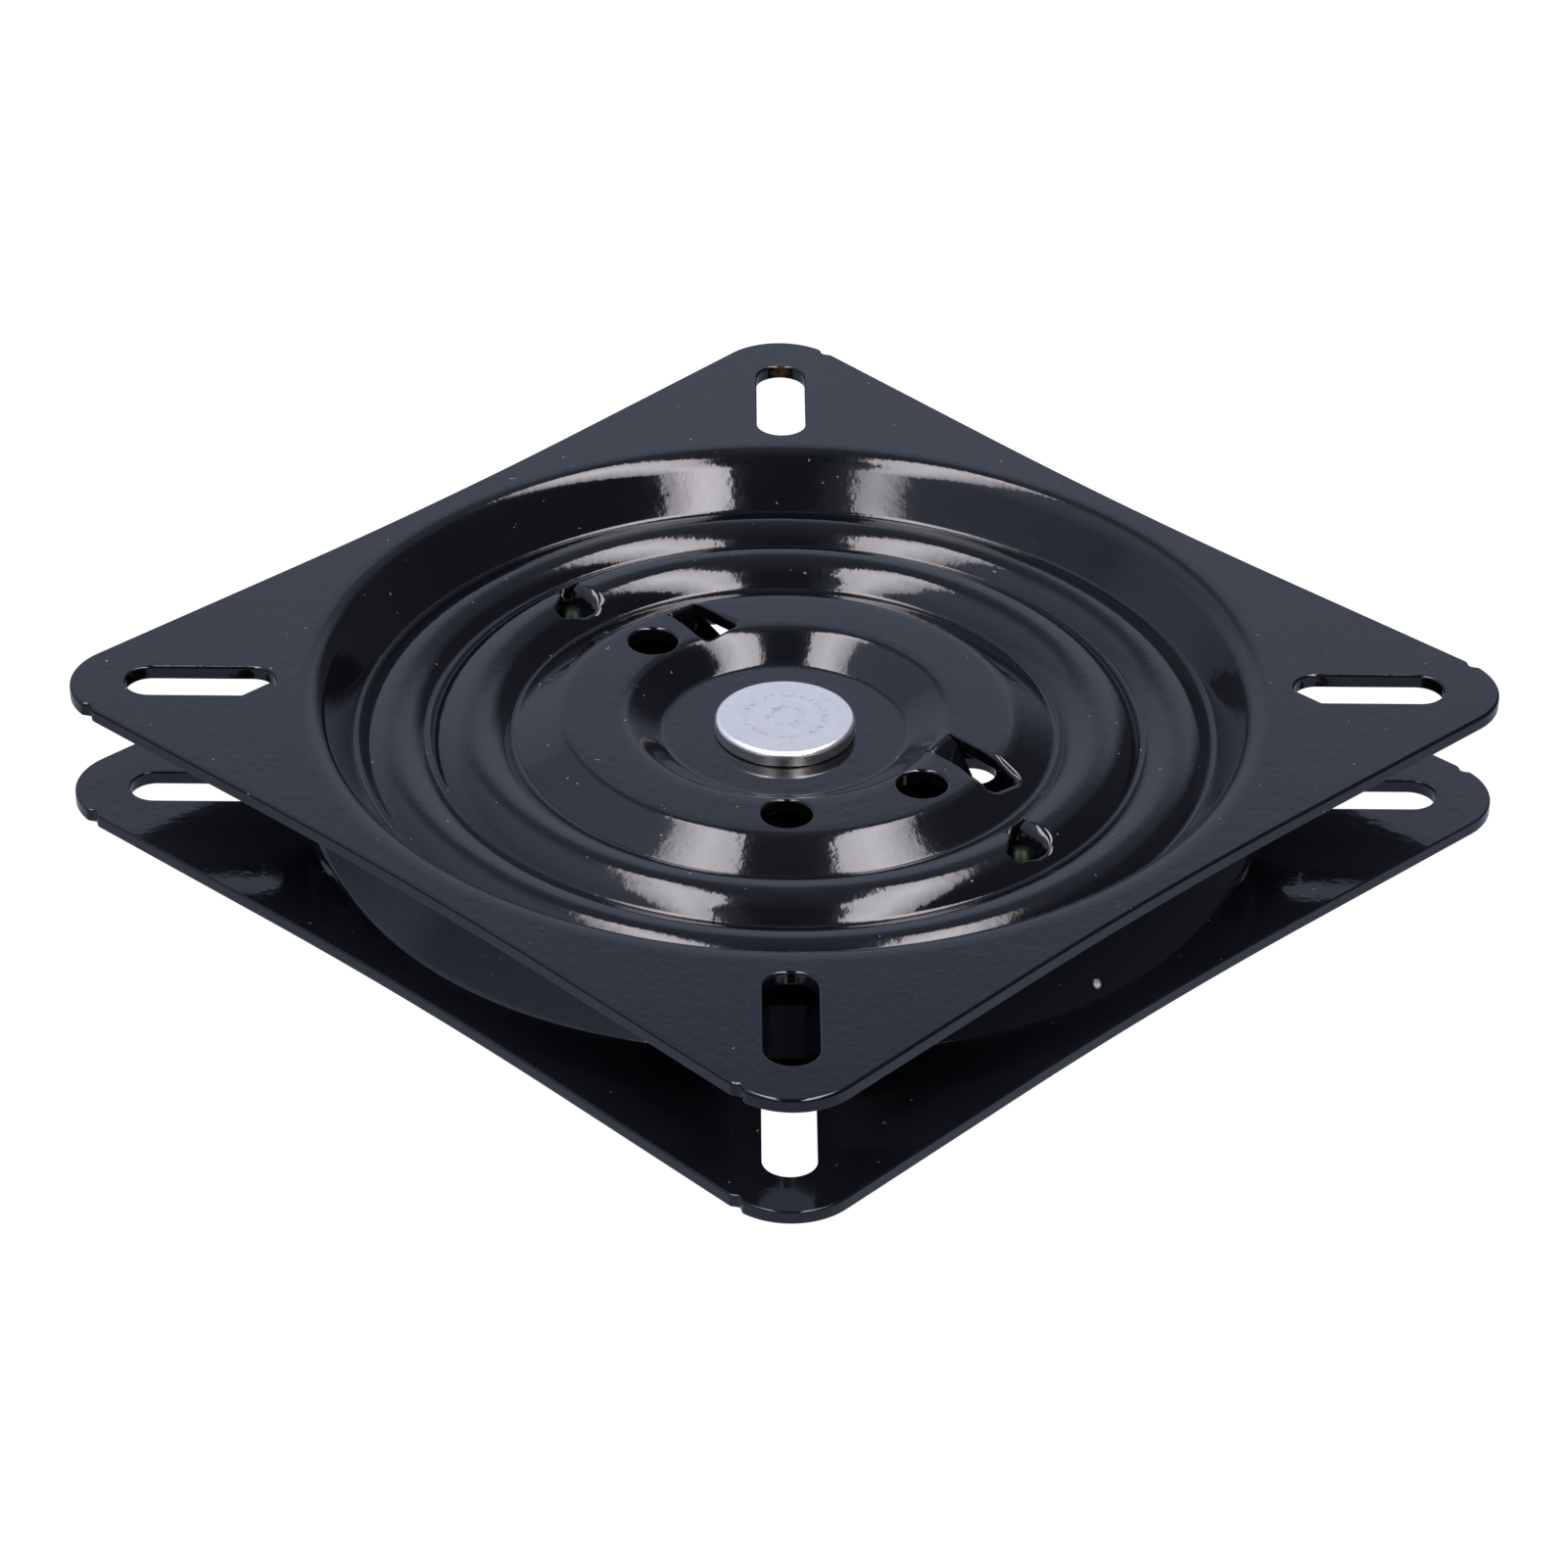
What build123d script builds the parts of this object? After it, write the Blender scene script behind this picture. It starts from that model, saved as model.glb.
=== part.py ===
from build123d import *
import math
import os

# Stool swivel plate: two square pressed plates, one turned over on the other, with loose balls in the
# ring channel between them and one rivet through their middles. The top plate turns on the rivet.
# Frame: Z up along the rivet, Z = 0 on the underside of the bottom plate's flange, X and Y along the
# plate's diagonals, which are also the lines of the bolt slots.

# Plate blank, the same for both plates
plate_side = 178.0          # square side, measured at the corners
side_bow = 2.3              # how far each side is drawn in at its middle
bow_blend = 35.0            # half-length of the rounded middle of a drawn-in side
corner_radius = 12.0
nick_radius = 1.2           # shearing nicks where the corner rounding runs out into a side
nick_depth = 0.7
sheet = 2.5                 # sheet thickness
edge_round = 0.5            # rolled-over rim of the blank on its show face

# Bolt slots, one in each corner, along the diagonals
slot_inset = 19.15          # slot centres in from the plate's sides
slot_length = 25.5
slot_width = 8.8

# Dish section on the show face, from the sides in: radial widths, and heights over the lowest level
dish_depth = 9.0            # lowest level below the flange
side_land = 7.5             # flange left between the dish and the middle of a side
wall_width = 6.4            # steep wall from the flange down to the outer trough
rib_bead_width = 12.2       # stiffening bead
rib_bead_height = 2.45
ball_bead_width = 14.3      # bead over the balls
ball_bead_height = 3.45
fall_width = 8.0            # slope from the inner trough up to the plateau
plateau_width = 11.1
plateau_height = 3.75
well_width = 6.3            # slope from the plateau down to the flat well round the rivet
bend_radius = 4.0           # soft bends round the plateau
floor_bend_radius = 1.5     # bend at the foot of the well
trough_radius = 1.0         # tight bends in the troughs
lip_bend_radius = 5.0       # bend from the flange into the dish

# Cut-outs
pilot_hole_diameter = 8.4
pilot_hole_offset = 4.75    # hole centre out from the plateau's inner edge
seat_pilot_angle = -135.0   # the top plate's third hole
base_pilot_angle = -132.3   # the bottom plate's only hole
window_width = 6.2          # the top plate's two windows, long along one side of the plate
window_length = 13.0
window_corner = 1.2
window_across = 11.7        # window centre from the middle, across its length
window_inset = 5.0          # window centre in from the plateau's outer edge, along its length
tab_length = 4.8            # tab left at one end of a window and bent down
tab_thickness = 1.2         # drawn thinner than the sheet
tab_root = 0.5              # how far the tab reaches back into the sheet
tab_angle = 65.0
sight_window_width = 4.3    # the bottom plate's single window
sight_window_length = 10.0
sight_window_across = 22.65
sight_window_reach = 1.4    # window centre out from the plateau's outer edge, along its length

# Ball keepers: tongues lanced out of the top plate's ball bead and bent down between the balls
keeper_opening = 11.2       # length of the opening along the bead
keeper_length = 5.0         # tongue bent down at one end of it
keeper_width = 8.6
keeper_corner = 1.2
keeper_drop_angle = 65.0
keeper_step = 0.25          # how far the bend at the hinge draws a tongue below the bead
keeper_root = 0.5           # how far a tongue reaches back into the bead
keeper_angle = 88.0         # middle of each opening, either side of the plate's plain side
shear_gap = 0.3             # gap beside and past a lanced tongue

# Rivet
shank_diameter = 12.0
head_diameter = 23.4
head_thickness = 2.4
head_round = 0.8
tail_diameter = 18.0
tail_thickness = 2.2
tail_round = 1.2

# Balls and clearances
balls_per_row = 12
ball_row_gap = 0.6          # room between a keeper and the ball next to it
floor_gap = 0.7             # between the wells of the two plates
ball_clearance = 0.2        # between a ball and either plate
shank_clearance = 0.05      # running fit of the top plate on the rivet
rivet_grip = 0.02           # the rivet in the bottom plate
head_clearance = 0.2        # under the rivet's head

# Levels and radii that follow
total_height = 2 * (sheet + dish_depth) + floor_gap
middle_height = total_height / 2
slot_circle = (plate_side / 2 - slot_inset) * math.sqrt(2)
lip_radius = plate_side / 2 - side_bow - side_land
outer_trough = lip_radius - wall_width
middle_trough = outer_trough - rib_bead_width
inner_trough = middle_trough - ball_bead_width
plateau_edge = inner_trough - fall_width
well_edge = plateau_edge - plateau_width
floor_radius = well_edge - well_width
ball_circle = (inner_trough + middle_trough) / 2
pilot_circle = well_edge + pilot_hole_offset
plateau_depth = dish_depth - plateau_height
ball_bead_depth = dish_depth - ball_bead_height
ball_diameter = 2 * (middle_height - ball_bead_depth - sheet - ball_clearance)
tab_width = window_width - 2 * window_corner - 2 * shear_gap
cut_depth = 2 * total_height

# Show face of each plate: x and y along its sides, z out of the face. The bottom plate is turned over.
seat_face = Plane(origin=(0, 0, total_height), x_dir=(1, 1, 0), z_dir=(0, 0, 1))
base_face = Plane(origin=(0, 0, 0), x_dir=(-1, -1, 0), z_dir=(0, 0, -1))


def section_plane(face: Plane) -> Plane:
    """The plane of a plate's half section: x outwards from the axis, y out of the show face."""
    return Plane(origin=face.origin, x_dir=face.x_dir, z_dir=-face.y_dir)


def plate_outline(face: Plane) -> Sketch:
    """The blank: a square with rounded corners, drawn-in sides and bolt slots."""
    half = plate_side / 2
    straight = half - corner_radius
    slope = side_bow / (straight - bow_blend / 2)
    corner = (half - slope * straight) / (1 - slope)
    waist = half - slope * straight
    blend_radius = bow_blend / math.sin(math.atan(slope))
    corners = [(corner, corner), (-corner, corner), (-corner, -corner), (corner, -corner)]
    waists = [(0, waist), (-waist, 0), (0, -waist), (waist, 0)]
    outline_points = [point for pair in zip(corners, waists) for point in pair]
    with BuildSketch(face) as outline:
        with BuildLine():
            Polyline(*outline_points, close=True)
        make_face()
        by_reach = outline.vertices().sort_by_distance((0, 0))
        fillet(by_reach[4:], corner_radius)
        by_reach = outline.vertices().sort_by_distance((0, 0))
        fillet(by_reach[:4], blend_radius)
        with PolarLocations(slot_circle, 4, start_angle=45):
            SlotOverall(slot_length, slot_width, mode=Mode.SUBTRACT)
    return outline.sketch


def pressed_plate(face: Plane, bore_radius: float) -> Part:
    """One plate as pressed: the dished section turned about the axis, trimmed to the blank and bored."""
    rib_crest = (middle_trough + outer_trough) / 2
    nick_spacing = plate_side + 2 * (nick_radius - nick_depth)
    with BuildPart() as plate:
        with BuildSketch(section_plane(face)):
            with BuildLine() as show_face:
                well = Line((0, -dish_depth), (floor_radius, -dish_depth))
                rise = Line(well @ 1, (well_edge, -plateau_depth))
                plateau = Line(rise @ 1, (plateau_edge, -plateau_depth))
                fall = Line(plateau @ 1, (inner_trough, -dish_depth))
                ball_bead = ThreePointArc(
                    fall @ 1, (ball_circle, -ball_bead_depth), (middle_trough, -dish_depth)
                )
                rib_bead = ThreePointArc(
                    ball_bead @ 1, (rib_crest, rib_bead_height - dish_depth), (outer_trough, -dish_depth)
                )
                wall = Line(rib_bead @ 1, (lip_radius, 0))
                Line(wall @ 1, (plate_side, 0))
                bends = [
                    (well @ 1, floor_bend_radius),
                    (rise @ 1, bend_radius),
                    (plateau @ 1, bend_radius),
                    (fall @ 1, trough_radius),
                    (ball_bead @ 1, trough_radius),
                    (rib_bead @ 1, trough_radius),
                    (wall @ 1, lip_bend_radius),
                ]
                for corner, radius in bends:
                    fillet(show_face.vertices().sort_by_distance(corner)[0], radius)
                offset(amount=sheet, side=Side.RIGHT)
            make_face()
        revolve(axis=Axis(face.origin, face.z_dir))
        add(plate_outline(face))
        extrude(amount=cut_depth, both=True, mode=Mode.INTERSECT)
        flange = plate.faces().filter_by(face).sort_by(SortBy.AREA)[-1]
        flange_rim = flange.outer_wire().edges()
        fillet(flange_rim, edge_round)
        with BuildSketch(face):
            Circle(bore_radius)
            with GridLocations(nick_spacing, plate_side - 2 * corner_radius, 2, 2):
                Circle(nick_radius)
        extrude(amount=cut_depth, both=True, mode=Mode.SUBTRACT)
    return plate.part


def lance_outline(spot: Plane, root: float, reach: float, width: float) -> Sketch:
    """A strip across the bead from behind a keeper's hinge to a far end with rounded corners."""
    with BuildSketch(spot) as outline:
        with Locations(((reach - root) / 2, 0)):
            Rectangle(reach + root, width)
        fillet(outline.vertices().group_by(Axis.X)[-1], keeper_corner)
    return outline.sketch


def keeper_tongue(plate: Part, spot: Plane) -> Part:
    """A tongue of the plate's own metal, lanced free and bent down about its hinge at the spot's y axis."""
    outline = lance_outline(spot, keeper_root, keeper_length, keeper_width - 2 * shear_gap)
    with BuildPart() as flat_tongue:
        add(plate)
        add(outline)
        extrude(amount=cut_depth, both=True, mode=Mode.INTERSECT)
    bent_tongue = flat_tongue.part.rotate(Axis(spot.origin, spot.y_dir), keeper_drop_angle)
    with BuildPart() as tongue:
        add(bent_tongue.translate(-keeper_step * spot.z_dir))
        add(outline)
        extrude(amount=cut_depth, both=True, mode=Mode.INTERSECT)
    return tongue.part


def window_tab(spot: Plane) -> Part:
    """The short tab at one end of a window, bent down out of the sheet's middle."""
    with BuildPart(spot.rotated((0, tab_angle, 0))) as tab:
        with Locations(((tab_length - tab_root) / 2, 0, 0)):
            Box(tab_length + tab_root, tab_width, tab_thickness)
    return tab.part


def slope_depth(reach: float) -> float:
    """Depth of the show face at a radius on the plateau or on the slope outside it."""
    return plateau_depth + plateau_height * max(0, reach - plateau_edge) / fall_width


def spot_on(face: Plane, x: float, y: float, depth: float, turn: float) -> Plane:
    """A plane on a plate, below its show face, with its x axis turned from the plate's own."""
    return Plane(face.location * Location((x, y, -depth), (0, 0, turn)))


# The top plate's tongues and tabs, cut from the plain pressing
seat_pressing = pressed_plate(seat_face, shank_diameter / 2 + shank_clearance)

keeper_spots = []
for side in (1, -1):
    middle = math.radians(side * keeper_angle)
    hinge_x = ball_circle * math.cos(middle) + keeper_opening / 2 * abs(math.sin(middle))
    hinge_y = ball_circle * math.sin(middle) - side * keeper_opening / 2 * math.cos(middle)
    turn = 180 + side * (keeper_angle - 90)
    keeper_spots.append(spot_on(seat_face, hinge_x, hinge_y, ball_bead_depth, turn))

window_along = plateau_edge - window_inset
window_centres = [(window_across, window_along), (window_across, -window_along)]
tab_spots = []
for across, along in window_centres:
    hinge_y = along + window_length / 2
    middle_depth = slope_depth(math.hypot(across, hinge_y)) + sheet / 2
    tab_spots.append(spot_on(seat_face, across, hinge_y, middle_depth, -90))

keepers = [keeper_tongue(seat_pressing, spot) for spot in keeper_spots]
tabs = [window_tab(spot) for spot in tab_spots]

with BuildPart() as top_plate:
    add(seat_pressing)
    with BuildSketch(seat_face):
        with PolarLocations(pilot_circle, 2, start_angle=90):
            Circle(pilot_hole_diameter / 2)
        with PolarLocations(pilot_circle, 1, start_angle=seat_pilot_angle):
            Circle(pilot_hole_diameter / 2)
        with Locations(*window_centres):
            RectangleRounded(window_width, window_length, window_corner)
    extrude(amount=cut_depth, both=True, mode=Mode.SUBTRACT)
    for spot in keeper_spots:
        add(lance_outline(spot, 0, keeper_opening, keeper_width))
    extrude(amount=cut_depth, both=True, mode=Mode.SUBTRACT)
    add(keepers)
    add(tabs)
top_plate.part.label = "top_plate"

with BuildPart() as bottom_plate:
    add(pressed_plate(base_face, shank_diameter / 2 + rivet_grip))
    with BuildSketch(base_face):
        with PolarLocations(pilot_circle, 1, start_angle=base_pilot_angle):
            Circle(pilot_hole_diameter / 2)
        with Locations((-sight_window_across, plateau_edge + sight_window_reach)):
            RectangleRounded(sight_window_width, sight_window_length, window_corner)
    extrude(amount=cut_depth, both=True, mode=Mode.SUBTRACT)
bottom_plate.part.label = "bottom_plate"

# Rivet: flat head over the top plate's well, tail upset under the bottom plate's
head_seat = total_height - dish_depth + head_clearance
tail_seat = dish_depth
with BuildPart() as centre_rivet:
    with BuildSketch(Plane.XZ):
        with BuildLine():
            Polyline(
                (0, tail_seat - tail_thickness),
                (tail_diameter / 2, tail_seat - tail_thickness),
                (tail_diameter / 2, tail_seat),
                (shank_diameter / 2, tail_seat),
                (shank_diameter / 2, head_seat),
                (head_diameter / 2, head_seat),
                (head_diameter / 2, head_seat + head_thickness),
                (0, head_seat + head_thickness),
                close=True,
            )
        make_face()
    revolve(axis=Axis.Z)
    rims = centre_rivet.edges().filter_by(GeomType.CIRCLE).sort_by(Axis.Z)
    fillet(rims[-1], head_round)
    fillet(rims[0], tail_round)
centre_rivet.part.label = "centre_rivet"

# Balls: two rows on one circle, each between the two keepers
ball_half_angle = math.degrees((ball_diameter / 2 + ball_row_gap) / ball_circle)
hinge_angle = keeper_angle - math.degrees(keeper_opening / 2 / ball_circle)
tip_angle = hinge_angle + math.degrees(keeper_length * math.cos(math.radians(keeper_drop_angle)) / ball_circle)
front_row_end = hinge_angle - ball_half_angle
back_row_end = tip_angle + ball_half_angle
row_spans = [(-front_row_end, front_row_end), (back_row_end, 360 - back_row_end)]
balls = []
for first_angle, last_angle in row_spans:
    pitch = (last_angle - first_angle) / (balls_per_row - 1)
    for place in range(balls_per_row):
        with BuildPart(spot_on(seat_face, 0, 0, total_height - middle_height, 0)) as ball:
            with PolarLocations(ball_circle, 1, start_angle=first_angle + place * pitch):
                Sphere(ball_diameter / 2)
        ball.part.label = f"ball_{len(balls) + 1:02d}"
        balls.append(ball)

os.makedirs("parts", exist_ok=True)
for piece in (top_plate, bottom_plate, centre_rivet, *balls):
    export_step(piece.part, f"parts/{piece.part.label}.step")
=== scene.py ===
"""Looks of a stool swivel plate: two pressed plates in gloss black paint, a zinc plated rivet and balls."""

import logging
import math
from dataclasses import dataclass, field
from enum import Enum
from itertools import chain

import bpy
import numpy as np
from mathutils import Matrix
from mathutils.geometry import delaunay_2d_cdt


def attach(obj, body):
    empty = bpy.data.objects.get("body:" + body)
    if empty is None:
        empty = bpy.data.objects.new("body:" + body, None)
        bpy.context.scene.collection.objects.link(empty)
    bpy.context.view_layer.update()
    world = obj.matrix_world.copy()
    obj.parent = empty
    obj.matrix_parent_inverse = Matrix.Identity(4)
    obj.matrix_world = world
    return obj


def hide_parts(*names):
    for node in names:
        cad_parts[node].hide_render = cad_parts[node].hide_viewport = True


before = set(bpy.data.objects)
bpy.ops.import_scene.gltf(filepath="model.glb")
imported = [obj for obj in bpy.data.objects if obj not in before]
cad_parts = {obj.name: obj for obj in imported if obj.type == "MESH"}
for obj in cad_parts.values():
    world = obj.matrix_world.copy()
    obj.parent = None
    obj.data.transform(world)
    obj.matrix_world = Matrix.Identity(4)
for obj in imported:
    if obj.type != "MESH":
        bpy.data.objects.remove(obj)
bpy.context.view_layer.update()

Array = np.ndarray
Socket = bpy.types.NodeSocket
Span = tuple[float, float]
Point = tuple[float, float, float]
Colour = tuple[float, float, float]
StripRows = tuple[tuple[float, float, float, float], ...]
LOG = logging.getLogger("swivel_plate")
MM = 0.001


def arc(centre: tuple[float, float], radius: float, start: float, turn: float, step: float = 2.0) -> Array:
    """Points on a circle: centre + radius * (cos a, sin a), a running from start over a turn.

    Args:
        centre: middle of the circle, in millimetres.
        radius: its radius, in millimetres.
        start: first angle, in degrees.
        turn: signed angle covered, in degrees.
        step: largest angle between points, in degrees.

    Returns:
        The points as rows of x and y.
    """
    count = max(2, math.ceil(abs(turn) / step) + 1)
    angles = np.radians(np.linspace(start, start + turn, count))
    return np.asarray(centre) + radius * np.c_[np.cos(angles), np.sin(angles)]


def smooth_step(value: Array) -> Array:
    """Soft ramp from 0 to 1: 3 t^2 - 2 t^3 with t held between 0 and 1."""
    t = np.clip(value, 0.0, 1.0)
    return t * t * (3.0 - 2.0 * t)


def evened(path: Array, turn: float, stride: float) -> Array:
    """A closed path walked again in even steps of length / stride + turned angle / turn.

    Args:
        path: dense closed path, rows of x and y.
        turn: angle that counts as one step, in degrees.
        stride: length that counts as one step, in millimetres.

    Returns:
        The points at whole numbers of that measure.
    """
    path = path[np.hypot(*(path - np.roll(path, 1, axis=0)).T) > 1e-4]
    ahead = np.roll(path, -1, axis=0) - path
    heading = np.arctan2(ahead[:, 1], ahead[:, 0])
    bend = np.abs((heading - np.roll(heading, 1) + np.pi) % (2 * np.pi) - np.pi)
    share = 0.5 * (bend + np.roll(bend, -1)) / math.radians(turn)
    measure = np.concatenate([[0.0], np.cumsum(np.hypot(*ahead.T) / stride + share)])
    marks = np.linspace(0.0, measure[-1], math.ceil(measure[-1]), endpoint=False)
    closed = np.vstack([path, path[:1]])
    return np.c_[np.interp(marks, measure, closed[:, 0]), np.interp(marks, measure, closed[:, 1])]


def enclosed(points: Array, loop: Array) -> Array:
    """Which points lie inside a closed loop: a ray to the right crosses its sides an odd number of times.

    Args:
        points: rows of x and y.
        loop: the loop's corners, rows of x and y.

    Returns:
        One truth value for each point.
    """
    inside = np.zeros(len(points), bool)
    near = np.all((points >= loop.min(0)) & (points <= loop.max(0)), axis=1)
    (ax, ay), (bx, by) = loop.T, np.roll(loop, -1, axis=0).T
    rise = np.where(by == ay, 1e-12, by - ay)
    for block in np.array_split(np.flatnonzero(near), max(1, near.sum() // 4000)):
        x, y = points[block, 0, None], points[block, 1, None]
        crosses = ((ay > y) != (by > y)) & (x < ax + (y - ay) / rise * (bx - ax))
        inside[block] = crosses.sum(1) % 2 == 1
    return inside


@dataclass
class Shell:
    """A mesh in the making: points, their normals and faces, gathered piece by piece, in millimetres."""

    points: list[Array] = field(default_factory=list)
    normals: list[Array] = field(default_factory=list)
    faces: list[Array] = field(default_factory=list)
    count: int = 0

    def add_points(self, points: Array, normals: Array) -> Array:
        """Adds points with their normals.

        Args:
            points: rows of x, y and z.
            normals: a direction for each, of any length.

        Returns:
            The new points' numbers.
        """
        self.points.append(points)
        self.normals.append(normals / np.linalg.norm(normals, axis=1, keepdims=True))
        numbers = np.arange(self.count, self.count + len(points))
        self.count += len(points)
        return numbers

    def add_band(self, upper: Array, lower: Array) -> None:
        """Closed band of four-sided faces between two rings of point numbers, facing the walk's right."""
        self.faces.append(np.c_[upper, lower, np.roll(lower, -1), np.roll(upper, -1)])

    def make(self, name: str, place: Array, origin: Array) -> bpy.types.Object:
        """Puts the gathered arrays into a mesh.

        Args:
            name: the piece's name.
            place: 3 x 3 array whose columns are the shell's axes in the row frame.
            origin: the shell's origin in the row frame, in millimetres.

        Returns:
            The new object, at the origin, with its place in its mesh.
        """
        points = (np.vstack(self.points) @ place.T + origin) * MM
        normals = np.vstack(self.normals) @ place.T
        corners = np.concatenate([part.ravel() for part in self.faces])
        sides = np.concatenate([np.full(len(part), part.shape[1]) for part in self.faces])
        mesh = bpy.data.meshes.new(name)
        mesh.vertices.add(len(points))
        mesh.vertices.foreach_set("co", points.astype(np.float32).ravel())
        mesh.loops.add(len(corners))
        mesh.loops.foreach_set("vertex_index", corners.astype(np.int32))
        mesh.polygons.add(len(sides))
        mesh.polygons.foreach_set("loop_start", (np.cumsum(sides) - sides).astype(np.int32))
        mesh.polygons.foreach_set("use_smooth", np.ones(len(sides), bool))
        mesh.update(calc_edges=True)
        mesh.validate()
        mesh.normals_split_custom_set_from_vertices(normals.tolist())
        piece = bpy.data.objects.new(name, mesh)
        bpy.context.scene.collection.objects.link(piece)
        return piece


@dataclass(frozen=True)
class Stroke:
    """One stretch of the dish's section before rounding: a straight, or an arc over a level chord."""

    start: tuple[float, float]
    end: tuple[float, float]
    bulge: float = 0.0

    @property
    def radius(self) -> float:
        """Radius of the arc over its chord: (half chord^2 + bulge^2) / (2 bulge)."""
        half = (self.end[0] - self.start[0]) / 2
        return (half * half + self.bulge * self.bulge) / (2 * self.bulge)

    @property
    def centre(self) -> Array:
        """Middle of the arc, a radius under its crest."""
        return np.array([(self.start[0] + self.end[0]) / 2, self.start[1] + self.bulge - self.radius])

    def height_over(self, point: Array) -> tuple[float, Array]:
        """Distance of a point over the stroke and the direction in which it grows.

        Args:
            point: reach and height of the point.

        Returns:
            The height over the straight, or the distance outside the arc, and its unit direction.
        """
        if self.bulge:
            away = point - self.centre
            length = float(np.hypot(*away))
            return length - self.radius, away / length
        run = np.subtract(self.end, self.start)
        up = np.array([-run[1], run[0]]) / np.hypot(*run)
        return float(up @ (point - np.array(self.start))), up


def rounded_corner(first: Stroke, second: Stroke, height: float) -> tuple[Array, Array, Array]:
    """The arc that rounds the corner of two strokes: its middle lies at one height over both.

    Args:
        first: stroke before the corner.
        second: stroke after it.
        height: the arc's radius, positive in a valley and negative on a crest.

    Returns:
        The arc's middle and the points where it touches the strokes.
    """
    centre = np.array(first.end) + np.array([0.0, height])
    for _ in range(30):
        (low, low_way), (high, high_way) = first.height_over(centre), second.height_over(centre)
        centre = centre - np.linalg.solve(np.array([low_way, high_way]), np.array([low, high]) - height)
    touches = [centre - height * stroke.height_over(centre)[1] for stroke in (first, second)]
    return centre, touches[0], touches[1]


def section_arc(centre: Array, start: Array, end: Array) -> Array:
    """Points along an arc of the section with the tilt of the face there.

    Args:
        centre: middle of the arc, reach and height.
        start: its first point.
        end: its last point.

    Returns:
        Rows of reach, height and the normal's tilt outwards from straight up.
    """
    first = math.degrees(math.atan2(*(start - centre)[::-1]))
    turn = (math.degrees(math.atan2(*(end - centre)[::-1])) - first + 180) % 360 - 180
    points = arc(tuple(centre), float(np.hypot(*(start - centre))), first, turn, 0.5)
    up = (points - centre) * np.sign((start - centre)[1])
    return np.c_[points, np.arctan2(up[:, 0], up[:, 1])]


@dataclass(frozen=True)
class Profile:
    """One face of a plate along its section: height and tilt by the distance from the axis."""

    reach: Array
    height: Array
    tilt: Array

    def at(self, reach: Array) -> tuple[Array, Array]:
        """Height and slope of the face at distances from the axis."""
        height = np.interp(reach, self.reach, self.height)
        return height, -np.tan(np.interp(reach, self.reach, self.tilt))

    def rings(self, inner: float, outer: float, turn: float, stride: float) -> Array:
        """Radii for rings of points, close together where the face bends.

        Args:
            inner: first radius.
            outer: last radius.
            turn: change of tilt that earns a ring, in degrees.
            stride: distance that earns a ring, in millimetres.

        Returns:
            The radii.
        """
        walk = np.linspace(inner, outer, 8000)
        tilt = np.interp(walk, self.reach, self.tilt)
        steps = np.abs(np.diff(tilt)) / math.radians(turn) + np.diff(walk) / stride
        measure = np.concatenate([[0.0], np.cumsum(steps)])
        return np.interp(np.linspace(0.0, measure[-1], math.ceil(measure[-1])), measure, walk)


@dataclass(frozen=True)
class DishSection:
    """Section of the pressed sheet from the axis out, in millimetres below the flange."""

    sheet: float = 2.5
    depth: float = 9.0
    floor_radius: float = 20.9
    well_edge: float = 27.2
    plateau_edge: float = 38.3
    inner_trough: float = 46.3
    middle_trough: float = 60.6
    outer_trough: float = 72.8
    lip_radius: float = 79.2
    reach: float = 178.0
    plateau_height: float = 3.75
    ball_bead_height: float = 3.45
    rib_bead_height: float = 2.45
    bend_radius: float = 4.0
    floor_bend_radius: float = 1.5
    trough_radius: float = 1.0
    lip_bend_radius: float = 5.0

    @property
    def ball_circle(self) -> float:
        """Radius of the circle on which the balls run."""
        return (self.inner_trough + self.middle_trough) / 2

    def faces(self) -> tuple[Profile, Profile]:
        """Show face of straights and rounded arcs, and a back face a sheet's thickness square below it.

        Returns:
            The show face and the back face.
        """
        low, shelf = -self.depth, self.plateau_height - self.depth
        strokes = [
            Stroke((0.0, low), (self.floor_radius, low)),
            Stroke((self.floor_radius, low), (self.well_edge, shelf)),
            Stroke((self.well_edge, shelf), (self.plateau_edge, shelf)),
            Stroke((self.plateau_edge, shelf), (self.inner_trough, low)),
            Stroke((self.inner_trough, low), (self.middle_trough, low), self.ball_bead_height),
            Stroke((self.middle_trough, low), (self.outer_trough, low), self.rib_bead_height),
            Stroke((self.outer_trough, low), (self.lip_radius, 0.0)),
            Stroke((self.lip_radius, 0.0), (self.reach, 0.0)),
        ]
        rounding = [
            self.floor_bend_radius,
            -self.bend_radius,
            -self.bend_radius,
            self.trough_radius,
            self.trough_radius,
            self.trough_radius,
            -self.lip_bend_radius,
        ]
        rows = [np.array([[0.0, low, 0.0]])]
        for before, after, height in zip(strokes, strokes[1:], rounding):
            centre, start, end = rounded_corner(before, after, height)
            if before.bulge:
                rows.append(section_arc(before.centre, rows[-1][-1, :2], start))
            rows.append(section_arc(centre, start, end))
        rows.append(np.array([[self.reach, 0.0, 0.0]]))
        reach, height, tilt = np.vstack(rows).T
        show = Profile(reach, height, tilt)
        back = Profile(reach - self.sheet * np.sin(tilt), height - self.sheet * np.cos(tilt), tilt)
        return show, back


class Side(Enum):
    """The two faces of a plate."""

    SHOW = 0
    BACK = 1


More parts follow.
